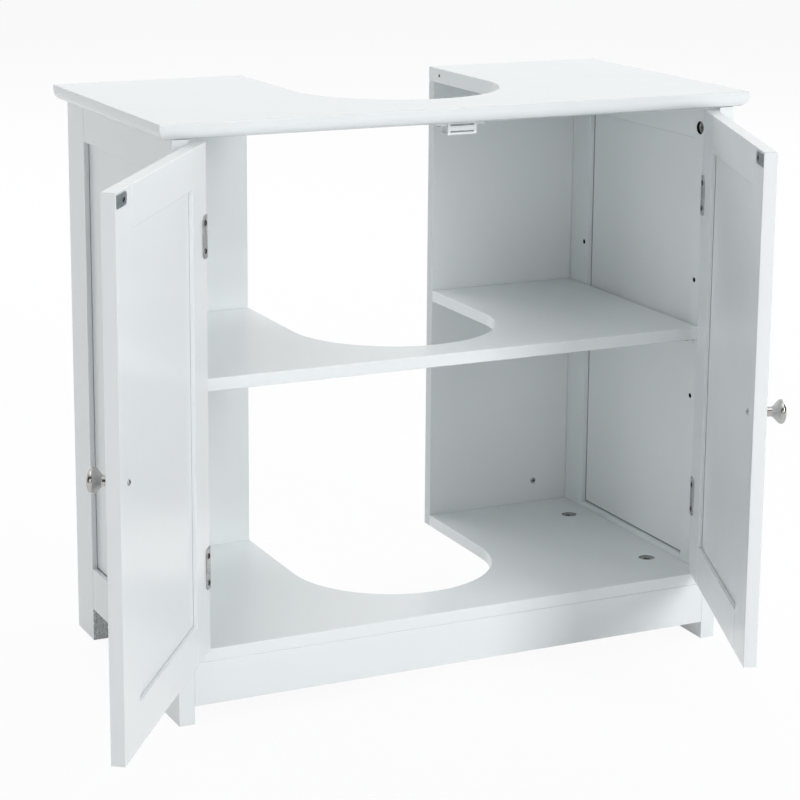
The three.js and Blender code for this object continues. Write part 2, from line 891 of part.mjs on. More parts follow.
function catchBody() {
  const half = catchWidth / 2;
  const corner = 2;
  const plan = new THREE.Shape();
  plan.moveTo(-half, catchFront);
  plan.lineTo(half, catchFront);
  plan.lineTo(half, catchBack - corner);
  plan.absarc(half - corner, catchBack - corner, corner, 0, Math.PI / 2, false);
  plan.lineTo(-half + corner, catchBack);
  plan.absarc(-half + corner, catchBack - corner, corner, Math.PI / 2, Math.PI, false);
  plan.closePath();
  const housing = raised(plan, topUnderside - catchHeight, topUnderside);

  const earHalf = catchEarSpan / 2;
  const earRadius = catchEarDepth / 2;
  const earMiddle = catchFront + 1 + earRadius;
  const earPlan = new THREE.Shape();
  earPlan.moveTo(-earHalf + earRadius, earMiddle - earRadius);
  earPlan.lineTo(earHalf - earRadius, earMiddle - earRadius);
  earPlan.absarc(earHalf - earRadius, earMiddle, earRadius, -Math.PI / 2, Math.PI / 2, false);
  earPlan.lineTo(-earHalf + earRadius, earMiddle + earRadius);
  earPlan.absarc(-earHalf + earRadius, earMiddle, earRadius, Math.PI / 2, Math.PI * 1.5, false);
  const ears = raised(earPlan, topUnderside - catchEarThickness, topUnderside);

  const pocketHalf = poleWidth / 2 + seatGap;
  const pocketHeight = polePitch / 2 + poleThickness / 2 + seatGap;
  const pocket = board(
    [-pocketHalf, pocketHalf],
    [catchFront + catchWall, catchBack + 1],
    [catchMiddle - pocketHeight, catchMiddle + pocketHeight],
  );
  const slots = Object.values(poleLevels).map((level) => board(
    [-pocketHalf, pocketHalf],
    [catchFront - 1, catchFront + catchWall + 1],
    [level - poleThickness / 2 - seatGap, level + poleThickness / 2 + seatGap],
  ));
  const recesses = Object.values(SIDES).map((side) => board(
    [side * (half - catchSideRecess), side * (half + 1)],
    [catchFront + catchWall, catchBack - catchWall],
    [topUnderside - catchHeight + catchWall, topUnderside - catchEarThickness - 1],
  ));
  return cutAway(joined(housing, ears), pocket, ...slots, ...recesses);
}

const catchPlace = [catchOffCentre, 0, 0];
addPiece(cabinet, "catch_body", catchBody().translate(...catchPlace), whitePlastic);

for (const [name, level] of Object.entries(poleLevels)) {
  addPiece(
    cabinet,
    `catch_pole_${name}`,
    board(
      [-poleWidth / 2, poleWidth / 2],
      [catchFront - poleReach, catchFront - poleReach + poleDepth],
      [level - poleThickness / 2, level + poleThickness / 2],
    ).translate(...catchPlace),
    strikeSteel,
  );
}

addPiece(
  cabinet,
  "catch_magnet",
  board(
    [-poleWidth / 2, poleWidth / 2],
    [catchFront + catchWall + seatGap, catchFront + poleDepth - poleReach],
    [poleLevels.lower + poleThickness / 2, poleLevels.upper - poleThickness / 2],
  ).translate(...catchPlace),
  darkMagnet,
);

cabinet.position.set(-footSoleX, -footSoleY, 0);

export default cabinet;
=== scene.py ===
"""A white cabinet that stands round a basin pedestal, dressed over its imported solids.

The file follows the cabinet as it is put together: boards, framed sides, doors, hinges, knobs,
catch, strikes, cam locks and shelf pins, then the floor, the light and the camera. Everything is
in metres in the part's own frame: +Z up, the doors towards -Y, the wall behind at +Y.
"""

import json
import math

import bmesh
import bpy
from mathutils import Matrix, Vector


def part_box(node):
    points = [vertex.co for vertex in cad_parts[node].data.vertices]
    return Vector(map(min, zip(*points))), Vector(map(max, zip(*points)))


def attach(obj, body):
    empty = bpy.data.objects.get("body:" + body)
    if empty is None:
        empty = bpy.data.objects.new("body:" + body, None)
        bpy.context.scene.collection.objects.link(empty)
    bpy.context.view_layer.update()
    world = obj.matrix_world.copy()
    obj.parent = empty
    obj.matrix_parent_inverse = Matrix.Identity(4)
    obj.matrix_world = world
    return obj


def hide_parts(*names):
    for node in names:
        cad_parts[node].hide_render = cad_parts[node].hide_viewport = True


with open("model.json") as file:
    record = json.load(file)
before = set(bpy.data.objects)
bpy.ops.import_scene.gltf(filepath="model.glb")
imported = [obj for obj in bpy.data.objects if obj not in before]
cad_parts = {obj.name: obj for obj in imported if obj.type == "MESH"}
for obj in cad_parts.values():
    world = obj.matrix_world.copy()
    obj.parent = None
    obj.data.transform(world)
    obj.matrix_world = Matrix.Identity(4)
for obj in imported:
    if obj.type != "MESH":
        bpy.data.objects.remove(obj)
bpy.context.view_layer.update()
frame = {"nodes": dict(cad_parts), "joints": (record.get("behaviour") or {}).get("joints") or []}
nodes = frame["nodes"]


# ---------------------------------------------------------------- top, bottom, shelf, kick rail, back
# Medium-density board, 15 mm for the top and 12 mm for the rest, primed and sprayed satin white.
# The edges are eased by hand with fine paper, so the arrises are a touch smoother and thinner in
# colour than the faces. The back panels' ends are painted darker than their faces: painted shade.

BOARD_PAINT = (0.832, 0.86, 0.868, 1)
BOARD_PAINT_THICK = (0.822, 0.852, 0.861, 1)
BARE_BOARD = (0.55, 0.47, 0.38, 1)
# Near black for the bores: painted shade, the dark inside a deep hole.
BORE_PAINTED_SHADE = (0.012, 0.011, 0.01, 1)
# A darker tone for the back panels' ends: painted shade.
BACK_END_PAINTED_SHADE = (0.66, 0.685, 0.69, 1)

# Roughness where the film is thin and where it is thick, then the cell and depth of orange peel.
BOARD_SHEEN = (0.22, 0.25)
BOARD_PEEL = (0.0016, 0.00004)
RUBBED_SHEEN = (0.2, 0.24)
RUBBED_PEEL = (0.0011, 0.00003)
RUBBED_SHARE = 0.12
RUBBED_SPOTS_PER_METRE = 55
PEEL_STRENGTH = 0.35
PAINT_IOR = 1.46

BOARD_ARRIS = 0.0007
ARRIS_STEPS = 2
ARRIS_FROM_DEGREES = 40
FLAT_WITHIN_DEGREES = 0.6
SEAM_REACH = 0.00001
BORE_ROOM = 0.0009
PAINT_SKIN = 0.0003
END_SKIN = 0.0006

top_low, top_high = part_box("top_panel")
CARCASS_MIDDLE = Vector(((top_low.x + top_high.x) / 2, (top_low.y + top_high.y) / 2, 0))


def new_material(name):
    """An empty material with its tree and its Principled shader."""
    material = bpy.data.materials.new(name)
    material.use_nodes = True
    tree = material.node_tree
    return material, tree, tree.nodes["Principled BSDF"]


def add_node(tree, kind, **settings):
    """A node of this kind; a setting that names a socket fills it, any other sets a property."""
    node = tree.nodes.new(kind)
    for key, value in settings.items():
        if key in node.inputs:
            node.inputs[key].default_value = value
        else:
            setattr(node, key, value)
    return node


def new_group(name, inputs, outputs):
    """A shader node group with named inputs, given as name: default, and named outputs."""
    group = bpy.data.node_groups.new(name, "ShaderNodeTree")
    for socket, default in inputs.items():
        kind = "NodeSocketVector" if isinstance(default, tuple) else "NodeSocketFloat"
        group.interface.new_socket(socket, in_out="INPUT", socket_type=kind).default_value = default
    for socket in outputs:
        group.interface.new_socket(socket, in_out="OUTPUT", socket_type="NodeSocketFloat")
    return group, group.nodes.new("NodeGroupInput"), group.nodes.new("NodeGroupOutput")


def noise_of_size(group, source, size_socket, detail, roughness=0.5):
    """Noise in Object coordinates whose cells have the size, in metres, that the input gives."""
    where = add_node(group, "ShaderNodeTexCoord")
    per_metre = add_node(group, "ShaderNodeMath", operation="DIVIDE")
    per_metre.inputs[0].default_value = 1
    group.links.new(source.outputs[size_socket], per_metre.inputs[1])
    noise = add_node(group, "ShaderNodeTexNoise", Detail=detail, Roughness=roughness)
    group.links.new(where.outputs["Object"], noise.inputs["Vector"])
    group.links.new(per_metre.outputs[0], noise.inputs["Scale"])
    return noise.outputs["Fac"]


def remap(tree, value, from_low, from_high, to_low, to_high):
    """The value, spread from one range to another and held to it."""
    spread = add_node(tree, "ShaderNodeMapRange")
    for socket, number in zip(("From Min", "From Max", "To Min", "To Max"),
                              (from_low, from_high, to_low, to_high)):
        spread.inputs[socket].default_value = number
    tree.links.new(value, spread.inputs["Value"])
    return spread.outputs["Result"]


def blend_colours(tree, factor, first, second):
    """The first colour where the factor is 0, the second where it is 1."""
    mix = add_node(tree, "ShaderNodeMix", data_type="RGBA")
    tree.links.new(factor, mix.inputs["Factor"])
    for socket, colour in zip((mix.inputs[6], mix.inputs[7]), (first, second)):
        if isinstance(colour, tuple):
            socket.default_value = colour
        else:
            tree.links.new(colour, socket)
    return mix.outputs[2]


def raise_relief(tree, height, strength, depth):
    """Lets a height stand up to this depth, in metres, off the material's surface."""
    relief = add_node(tree, "ShaderNodeBump", Strength=strength, Distance=depth)
    tree.links.new(height, relief.inputs["Height"])
    tree.links.new(relief.outputs["Normal"], tree.nodes["Principled BSDF"].inputs["Normal"])


def make_sprayed_coat():
    """What a spray gun leaves: orange peel, a slow drift in film thickness, and a few dust nibs."""
    group, given, result = new_group(
        "sprayed_coat",
        {"Peel Size": 0.0016, "Drift Size": 0.09, "Nib Size": 0.006},
        ("Height", "Drift"),
    )
    peel = noise_of_size(group, given, "Peel Size", 2)
    drift = noise_of_size(group, given, "Drift Size", 3)
    nib = noise_of_size(group, given, "Nib Size", 1)
    nib_height = remap(group, nib, 0.78, 0.84, 0, 0.6)
    height = add_node(group, "ShaderNodeMath", operation="ADD")
    group.links.new(peel, height.inputs[0])
    group.links.new(nib_height, height.inputs[1])
    group.links.new(height.outputs[0], result.inputs["Height"])
    group.links.new(remap(group, drift, 0.3, 0.7, 0, 1), result.inputs["Drift"])
    return group


sprayed_coat = make_sprayed_coat()


def make_paint(name, thin, thick, sheen, peel, rubbed=0):
    """Satin paint: colour and gloss follow the film's drift, and rubbed spots show the board."""
    material, tree, shader = new_material(name)
    peel_size, peel_depth = peel
    coat = add_node(tree, "ShaderNodeGroup", node_tree=sprayed_coat)
    coat.inputs["Peel Size"].default_value = peel_size
    colour = blend_colours(tree, coat.outputs["Drift"], thin, thick)
    if rubbed:
        where = add_node(tree, "ShaderNodeTexCoord")
        spots = add_node(tree, "ShaderNodeTexNoise", Scale=RUBBED_SPOTS_PER_METRE, Detail=4)
        tree.links.new(where.outputs["Object"], spots.inputs["Vector"])
        colour = blend_colours(tree, remap(tree, spots.outputs["Fac"], 0.62, 0.8, 0, rubbed),
                               colour, BARE_BOARD)
    tree.links.new(colour, shader.inputs["Base Color"])
    tree.links.new(remap(tree, coat.outputs["Drift"], 0, 1, *sheen), shader.inputs["Roughness"])
    raise_relief(tree, coat.outputs["Height"], PEEL_STRENGTH, peel_depth)
    shader.inputs["IOR"].default_value = PAINT_IOR
    return material


def make_box_mask():
    """1 inside a box, repeated in mirror image about the middle's three planes, else 0."""
    group, given, result = new_group(
        "box_mask",
        {"Middle": (0, 0, 0), "Centre": (0, 0, 0), "Half Size": (1, 1, 1)},
        ("Mask",),
    )
    value = add_node(group, "ShaderNodeTexCoord").outputs["Object"]
    for operation, socket in (("SUBTRACT", "Middle"), ("ABSOLUTE", None), ("SUBTRACT", "Centre"),
                              ("ABSOLUTE", None), ("DIVIDE", "Half Size")):
        step = add_node(group, "ShaderNodeVectorMath", operation=operation)
        group.links.new(value, step.inputs[0])
        if socket:
            group.links.new(given.outputs[socket], step.inputs[1])
        value = step.outputs[0]
    parts = add_node(group, "ShaderNodeSeparateXYZ")
    group.links.new(value, parts.inputs[0])
    largest = parts.outputs["X"]
    for axis in ("Y", "Z"):
        step = add_node(group, "ShaderNodeMath", operation="MAXIMUM")
        group.links.new(largest, step.inputs[0])
        group.links.new(parts.outputs[axis], step.inputs[1])
        largest = step.outputs[0]
    inside = add_node(group, "ShaderNodeMath", operation="LESS_THAN")
    inside.inputs[1].default_value = 1
    group.links.new(largest, inside.inputs[0])
    group.links.new(inside.outputs[0], result.inputs["Mask"])
    return group


box_mask = make_box_mask()


def mask_between(material, low, high, middle=CARCASS_MIDDLE):
    """1 between two corners of a box, and in its mirror images about the middle, else 0."""
    low, high = Vector(low), Vector(high)
    mask = add_node(material.node_tree, "ShaderNodeGroup", node_tree=box_mask)
    mask.inputs["Middle"].default_value = middle
    mask.inputs["Centre"].default_value = (low + high) / 2 - middle
    mask.inputs["Half Size"].default_value = (high - low) / 2
    return mask.outputs["Mask"]


def paint_over(material, mask, colour):
    """Lays a colour over a finished paint where the mask, a socket in its own tree, is 1."""
    tree = material.node_tree
    base_colour = tree.nodes["Principled BSDF"].inputs["Base Color"]
    painted = base_colour.links[0].from_socket
    tree.links.new(blend_colours(tree, mask, painted, colour), base_colour)


board_paint = make_paint("satin_white_board", BOARD_PAINT, BOARD_PAINT_THICK,
                         BOARD_SHEEN, BOARD_PEEL)
arris_paint = make_paint("satin_white_arris", BOARD_PAINT, BOARD_PAINT,
                         RUBBED_SHEEN, RUBBED_PEEL, RUBBED_SHARE)

bottom_paint = make_paint("satin_white_bottom", BOARD_PAINT, BOARD_PAINT_THICK,
                          BOARD_SHEEN, BOARD_PEEL)
bottom_low, bottom_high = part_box("bottom_panel")
lock_low, lock_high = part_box("cam_lock_bottom_right_rear")
# The cam lock bores in the bottom are painted near black: painted shade.
bores = mask_between(
    bottom_paint,
    (lock_low.x - BORE_ROOM, lock_low.y - BORE_ROOM, bottom_low.z + PAINT_SKIN),
    (lock_high.x + BORE_ROOM, lock_high.y + BORE_ROOM, bottom_high.z - PAINT_SKIN),
)
paint_over(bottom_paint, bores, BORE_PAINTED_SHADE)

back_paint = make_paint("satin_white_back", BOARD_PAINT, BOARD_PAINT_THICK,
                        BOARD_SHEEN, BOARD_PEEL)
back_low, back_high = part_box("back_panel_right")
# The back panels' ends are painted darker, as painted shade where the side light falls full on them.
shaded_back_ends = mask_between(
    back_paint,
    (back_low.x - END_SKIN, back_low.y - END_SKIN, back_low.z - END_SKIN),
    (back_low.x + END_SKIN, back_high.y + END_SKIN, back_high.z + END_SKIN),
)
paint_over(back_paint, shaded_back_ends, BACK_END_PAINTED_SHADE)


def make_smooth_shading():
    """A modifier tree that only shades its mesh smooth, because the solids come flat."""
    tree = bpy.data.node_groups.new("shade_smooth", "GeometryNodeTree")
    tree.interface.new_socket("Geometry", in_out="INPUT", socket_type="NodeSocketGeometry")
    tree.interface.new_socket("Geometry", in_out="OUTPUT", socket_type="NodeSocketGeometry")
    given = tree.nodes.new("NodeGroupInput")
    smooth = tree.nodes.new("GeometryNodeSetShadeSmooth")
    result = tree.nodes.new("NodeGroupOutput")
    tree.links.new(given.outputs[0], smooth.inputs["Geometry"])
    tree.links.new(smooth.outputs["Geometry"], result.inputs[0])
    return tree


shade_smooth = make_smooth_shading()


def ease_arrises(piece, radius, steps, arris_slot):
    """Rounds a piece's sharp edges; the rounds take a material slot, or their neighbours' at -1."""
    weld = piece.modifiers.new("weld", "WELD")
    weld.merge_threshold = SEAM_REACH
    flat = piece.modifiers.new("flat faces", "DECIMATE")
    flat.decimate_type = "DISSOLVE"
    flat.angle_limit = math.radians(FLAT_WITHIN_DEGREES)
    bevel = piece.modifiers.new("eased arris", "BEVEL")
    bevel.width = radius
    bevel.segments = steps
    bevel.limit_method = "ANGLE"
    bevel.angle_limit = math.radians(ARRIS_FROM_DEGREES)
    bevel.material = arris_slot
    smooth = piece.modifiers.new("smooth", "NODES")
    smooth.node_group = shade_smooth
    normals = piece.modifiers.new("flat face normals", "WEIGHTED_NORMAL")
    normals.weight = 100


def dress(name, face, radius, steps=1, arris=None):
    """Gives a node its material, eased arrises, and a second material on them if there is one."""
    piece = nodes[name]
    piece.data.materials.clear()
    piece.data.materials.append(face)
    if arris:
        piece.data.materials.append(arris)
    ease_arrises(piece, radius, steps, 1 if arris else -1)


for board, face_paint in (("top_panel", board_paint), ("bottom_panel", bottom_paint),
                          ("shelf", board_paint), ("kick_rail", board_paint),
                          ("back_panel_left", back_paint), ("back_panel_right", back_paint)):
    dress(board, face_paint, BOARD_ARRIS, ARRIS_STEPS, arris_paint)


# ---------------------------------------------------------------- framed sides
# Two stiles run from the floor to the top, with two rails between them and a thin panel held in
# a groove. They are glued up first and then sprayed, so fine joint lines show through the paint.
# The bores are painted near black as painted shade, a line of painted shade runs round each panel,
# and the rear legs' edges under the bottom rail carry a dark speckle.

SIDE_ARRIS = 0.0005
SIDE_PANEL_TINT = (0.825, 0.853, 0.862, 1)
SIDE_PANEL_PEEL = (0.0018, 0.00005)
# A dark speckle for the rear legs' front edges under the bottom rail.
LEG_EDGE_SPECKLE = (0.11, 0.115, 0.112, 1)
LEG_EDGE_SKIN = 0.0015
LEG_EDGE_DEPTH = 0.0007
LEG_EDGE_SPECKS_PER_METRE = 900
LEG_EDGE_MOST_SPECKLE = 0.8
LEG_EDGE_LEAST_SPECKLE = 0.15
GROOVE_LINE = 0.0013
# The fine line round the side panels: painted shade.
GROOVE_SHADE = (0.33, 0.35, 0.36, 1)


def make_side_panel_paint(side):
    """The panel's paint, with a fine line of painted shade laid round it where it meets the groove."""
    material = make_paint(f"satin_white_side_panel_{side}", BOARD_PAINT, SIDE_PANEL_TINT,
                          BOARD_SHEEN, SIDE_PANEL_PEEL)
    panel_low, panel_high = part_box(f"side_{side}_panel")
    inset = Vector((-GROOVE_LINE, GROOVE_LINE, GROOVE_LINE))
    low = inset + Vector((panel_low.x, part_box(f"side_{side}_front_stile")[1].y,
                          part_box(f"side_{side}_bottom_rail")[1].z))
    high = -inset + Vector((panel_high.x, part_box(f"side_{side}_rear_stile")[0].y,
                            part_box(f"side_{side}_top_rail")[0].z))
    clear = mask_between(material, low, high, middle=(low + high) / 2)
    paint_over(material, remap(material.node_tree, clear, 0, 1, 1, 0), GROOVE_SHADE)
    return material


def make_stile_paint():
    """The sides' paint: painted shade in the bores, a dark speckle on the rear legs' lower edges."""
    material = make_paint("satin_white_stile", BOARD_PAINT, BOARD_PAINT_THICK,
                          BOARD_SHEEN, BOARD_PEEL)
    tree = material.node_tree
    stile_low, stile_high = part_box("side_right_rear_stile")
    bore_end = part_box("cam_lock_top_right_rear")[1].y + BORE_ROOM
    leg_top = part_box("side_right_bottom_rail")[0].z - SIDE_ARRIS
    # The bores in the stiles are painted near black: painted shade.
    bores = mask_between(
        material,
        (stile_low.x + PAINT_SKIN, stile_low.y + PAINT_SKIN, stile_low.z + PAINT_SKIN),
        (stile_high.x - PAINT_SKIN, bore_end, stile_high.z - PAINT_SKIN),
    )
    paint_over(material, bores, BORE_PAINTED_SHADE)

    # A dark speckle on the rear legs' front edges below the bottom rail.
    where = add_node(tree, "ShaderNodeTexCoord")
    specks = add_node(tree, "ShaderNodeTexNoise", Scale=LEG_EDGE_SPECKS_PER_METRE, Detail=5,
                      Roughness=0.7)
    tree.links.new(where.outputs["Object"], specks.inputs["Vector"])
    speckle = remap(tree, specks.outputs["Fac"], 0.36, 0.6, LEG_EDGE_MOST_SPECKLE, LEG_EDGE_LEAST_SPECKLE)
    leg_edges = mask_between(
        material,
        (stile_low.x - LEG_EDGE_SKIN, stile_low.y - LEG_EDGE_SKIN, stile_low.z - LEG_EDGE_SKIN),
        (stile_high.x + LEG_EDGE_SKIN, stile_low.y + LEG_EDGE_DEPTH, leg_top),
    )
    speckled_leg_edges = add_node(tree, "ShaderNodeMath", operation="MULTIPLY")
    tree.links.new(leg_edges, speckled_leg_edges.inputs[0])
    tree.links.new(speckle, speckled_leg_edges.inputs[1])
    paint_over(material, speckled_leg_edges.outputs[0], LEG_EDGE_SPECKLE)
    return material


stile_paint = make_stile_paint()

for side in ("left", "right"):
    for part, paint in (("front_stile", stile_paint), ("rear_stile", stile_paint),
                        ("top_rail", board_paint), ("bottom_rail", board_paint)):
        dress(f"side_{side}_{part}", paint, SIDE_ARRIS, ARRIS_STEPS, arris_paint)
    dress(f"side_{side}_panel", make_side_panel_paint(side), SIDE_ARRIS, ARRIS_STEPS)


# ---------------------------------------------------------------- framed doors
# Each door is a flat frame of 12 mm board round a thin panel, 4 mm below the frame on both faces.
# The doors get one coat more than the carcass and are a little glossier.

DOOR_ARRIS = 0.0006
DOOR_PAINT = (0.836, 0.862, 0.872, 1)
DOOR_PAINT_THICK = (0.828, 0.855, 0.866, 1)
DOOR_SHEEN = (0.2, 0.24)
DOOR_PEEL = (0.0015, 0.00004)

door_paint = make_paint("satin_white_door", DOOR_PAINT, DOOR_PAINT_THICK, DOOR_SHEEN, DOOR_PEEL)

for side in ("left", "right"):
    for part in ("hinge_stile", "meeting_stile", "top_rail", "bottom_rail"):
        dress(f"door_{side}_{part}", door_paint, DOOR_ARRIS, ARRIS_STEPS, arris_paint)
    dress(f"door_{side}_panel", door_paint, DOOR_ARRIS, ARRIS_STEPS)


# ---------------------------------------------------------------- hinges and their screws
# Small wrap-round hinges of plated steel strip, rolled round a drop-in pin. One leaf lies flat
# inside the carcass, the other folds round the door's edge; each has two cross-head screws.

HINGE_STEEL = (0.52, 0.53, 0.53, 1)
HINGE_STEEL_DULL = (0.4, 0.41, 0.41, 1)
SCREW_STEEL = (0.15, 0.15, 0.15, 1)
SCREW_STEEL_DULL = (0.1, 0.1, 0.1, 1)
# Near black in the screws' cross recesses: painted shade.
RECESS_PAINTED_SHADE = (0.008, 0.008, 0.009, 1)
STRIP_ARRIS = 0.00018
STRIP_STREAK = 0.0004
STRIP_STRETCH = 18.0
LEAF_THICK = 0.0012
SCREW_PITCH = 0.025
FRAME_SCREW_INSET = 0.004

# The door leaf's screws, from the pin's axis with the door shut: along the door, then behind it.
DOOR_SCREW_ACROSS = 0.0072
DOOR_SCREW_BEHIND = 0.0134
DOOR_LEAF_SCREW = {"Head Radius": 0.003, "Head Height": 0.0011, "Slot Width": 0.0015}
FRAME_LEAF_SCREW = {"Head Radius": 0.003, "Head Height": 0.0003, "Slot Width": 0.0013}
SIGN = {"left": -1, "right": 1}


def make_strip_grain():
    """Rolling marks in thin steel strip: long fine streaks, and a cloudy dulling of the plating."""
    group, given, result = new_group(
        "strip_grain",
        {"Streak Size": 0.0004, "Cloud Size": 0.006, "Stretch": 18.0},
        ("Streak", "Cloud"),
    )
    where = add_node(group, "ShaderNodeTexCoord")
    parts = add_node(group, "ShaderNodeSeparateXYZ")
    group.links.new(where.outputs["Object"], parts.inputs[0])
    shorter = add_node(group, "ShaderNodeMath", operation="DIVIDE")
    group.links.new(parts.outputs["Z"], shorter.inputs[0])
    group.links.new(given.outputs["Stretch"], shorter.inputs[1])
    joined = add_node(group, "ShaderNodeCombineXYZ")
    group.links.new(parts.outputs["X"], joined.inputs["X"])
    group.links.new(parts.outputs["Y"], joined.inputs["Y"])
    group.links.new(shorter.outputs[0], joined.inputs["Z"])
    per_metre = add_node(group, "ShaderNodeMath", operation="DIVIDE")
    per_metre.inputs[0].default_value = 1
    group.links.new(given.outputs["Streak Size"], per_metre.inputs[1])
    streak = add_node(group, "ShaderNodeTexNoise", Detail=3, Roughness=0.6)
    group.links.new(joined.outputs[0], streak.inputs["Vector"])
    group.links.new(per_metre.outputs[0], streak.inputs["Scale"])
    group.links.new(streak.outputs["Fac"], result.inputs["Streak"])
    cloud = noise_of_size(group, given, "Cloud Size", 3)
    group.links.new(remap(group, cloud, 0.35, 0.65, 0, 1), result.inputs["Cloud"])
    return group


strip_grain = make_strip_grain()


def make_metal(name, bright, dull, sheen, streak_size=0.0005, stretch=1.0, depth=0.00002):
    """Plated or bare metal: streaked, clouded in colour, and rougher where it is dull."""
    material, tree, shader = new_material(name)
    grain = add_node(tree, "ShaderNodeGroup", node_tree=strip_grain)
    grain.inputs["Streak Size"].default_value = streak_size
    grain.inputs["Stretch"].default_value = stretch
    cloud = grain.outputs["Cloud"]
    tree.links.new(blend_colours(tree, cloud, bright, dull), shader.inputs["Base Color"])
    tree.links.new(remap(tree, cloud, 0, 1, *sheen), shader.inputs["Roughness"])
    raise_relief(tree, grain.outputs["Streak"], 0.4, depth)
    shader.inputs["Metallic"].default_value = 1
    return material


hinge_steel = make_metal("hinge_steel", HINGE_STEEL, HINGE_STEEL_DULL, sheen=(0.24, 0.42),
                         streak_size=STRIP_STREAK, stretch=STRIP_STRETCH)
screw_steel = make_metal("screw_steel", SCREW_STEEL, SCREW_STEEL_DULL, sheen=(0.26, 0.4))
recess_painted_shade = make_metal("screw_recess", RECESS_PAINTED_SHADE, RECESS_PAINTED_SHADE, sheen=(0.6, 0.75))


def make_screw_tree():
    """Cross-head screws on the points of a mesh, each turned to the point's own axis.

    A head is the upper half of a flattened ball, with a cross of two slots cut down into it;
    the slots take a near-black material as painted shade.
    """
    ball_segments, ball_rings = 20, 10
    arm_reach = 1.4
    slot_top, slot_floor = 2.0, 0.1
    tree = bpy.data.node_groups.new("cross_head_screws", "GeometryNodeTree")
    face = tree.interface
    face.new_socket("Geometry", in_out="INPUT", socket_type="NodeSocketGeometry")
    for name, size in (("Head Radius", 0.0032), ("Head Height", 0.0009), ("Slot Width", 0.0009)):
        face.new_socket(name, in_out="INPUT", socket_type="NodeSocketFloat").default_value = size
    face.new_socket("Head Material", in_out="INPUT", socket_type="NodeSocketMaterial")
    face.new_socket("Recess Material", in_out="INPUT", socket_type="NodeSocketMaterial")
    face.new_socket("Geometry", in_out="OUTPUT", socket_type="NodeSocketGeometry")
    given = tree.nodes.new("NodeGroupInput")
    result = tree.nodes.new("NodeGroupOutput")
    radius = given.outputs["Head Radius"]
    height = given.outputs["Head Height"]
    slot = given.outputs["Slot Width"]

    def link(source, target):
        tree.links.new(source, target)

    def times(size, factor):
        node = add_node(tree, "ShaderNodeMath", operation="MULTIPLY")
        link(size, node.inputs[0])
        node.inputs[1].default_value = factor
        return node.outputs[0]

    def vector(x, y, z):
        node = add_node(tree, "ShaderNodeCombineXYZ")
        for socket, value in zip(node.inputs, (x, y, z)):
            if isinstance(value, float):
                socket.default_value = value
            else:
                link(value, socket)
        return node.outputs[0]

    def block(size, lift):
        """A block of this size, its middle lifted by so much."""
        cube = tree.nodes.new("GeometryNodeMeshCube")
        link(size, cube.inputs["Size"])
        moved = tree.nodes.new("GeometryNodeTransform")
        link(cube.outputs["Mesh"], moved.inputs["Geometry"])
        link(vector(0.0, 0.0, lift), moved.inputs["Translation"])
        return moved.outputs["Geometry"]

    def painted(mesh, material):
        node = tree.nodes.new("GeometryNodeSetMaterial")
        link(mesh, node.inputs["Geometry"])
        link(given.outputs[material], node.inputs["Material"])
        return node

    def cut_away(mesh, cutter):
        node = tree.nodes.new("GeometryNodeMeshBoolean")
        node.operation = "DIFFERENCE"
        link(mesh, node.inputs["Mesh 1"])
        link(cutter, node.inputs["Mesh 2"])
        return node.outputs["Mesh"]

    ball = tree.nodes.new("GeometryNodeMeshUVSphere")
    ball.inputs["Segments"].default_value = ball_segments
    ball.inputs["Rings"].default_value = ball_rings
    ball.inputs["Radius"].default_value = 1
    dome = tree.nodes.new("GeometryNodeTransform")
    link(ball.outputs["Mesh"], dome.inputs["Geometry"])
    link(vector(radius, radius, height), dome.inputs["Scale"])
    metal = painted(dome.outputs["Geometry"], "Head Material").outputs["Geometry"]

    wide = times(radius, 3.0)
    lower_half = block(vector(wide, wide, times(height, 2.0)), times(height, -1.0))

    arm_length = times(radius, arm_reach)
    arm_height = times(height, slot_top - slot_floor)
    cross = tree.nodes.new("GeometryNodeMeshBoolean")
    cross.operation = "UNION"
    for size in (vector(arm_length, slot, arm_height), vector(slot, arm_length, arm_height)):
        link(block(size, times(height, (slot_top + slot_floor) / 2)), cross.inputs["Mesh 2"])
    # The slots are painted near black: painted shade in the recess.
    shaded_recess = painted(cross.outputs["Mesh"], "Recess Material").outputs["Geometry"]
    head = cut_away(cut_away(metal, lower_half), shaded_recess)

    axis = tree.nodes.new("GeometryNodeInputNamedAttribute")
    axis.data_type = "FLOAT_VECTOR"
    axis.inputs["Name"].default_value = "axis"
    turn = tree.nodes.new("FunctionNodeAlignRotationToVector")
    turn.axis = "Z"
    link(axis.outputs["Attribute"], turn.inputs["Vector"])
    placed = tree.nodes.new("GeometryNodeInstanceOnPoints")
    link(given.outputs["Geometry"], placed.inputs["Points"])
    link(head, placed.inputs["Instance"])
    link(turn.outputs["Rotation"], placed.inputs["Rotation"])
    real = tree.nodes.new("GeometryNodeRealizeInstances")
    link(placed.outputs["Instances"], real.inputs["Geometry"])
    heads = tree.nodes.new("GeometryNodeMaterialSelection")
    link(given.outputs["Head Material"], heads.inputs["Material"])
    last = painted(real.outputs["Geometry"], "Head Material")
    link(heads.outputs["Selection"], last.inputs["Selection"])
    link(last.outputs["Geometry"], result.inputs[0])
    return tree


screw_tree = make_screw_tree()


def set_out(name, data):
    """An object for a finished mesh, lamp or camera, at the origin of the scene."""
    thing = bpy.data.objects.new(name, data)
    bpy.context.scene.collection.objects.link(thing)
    return thing


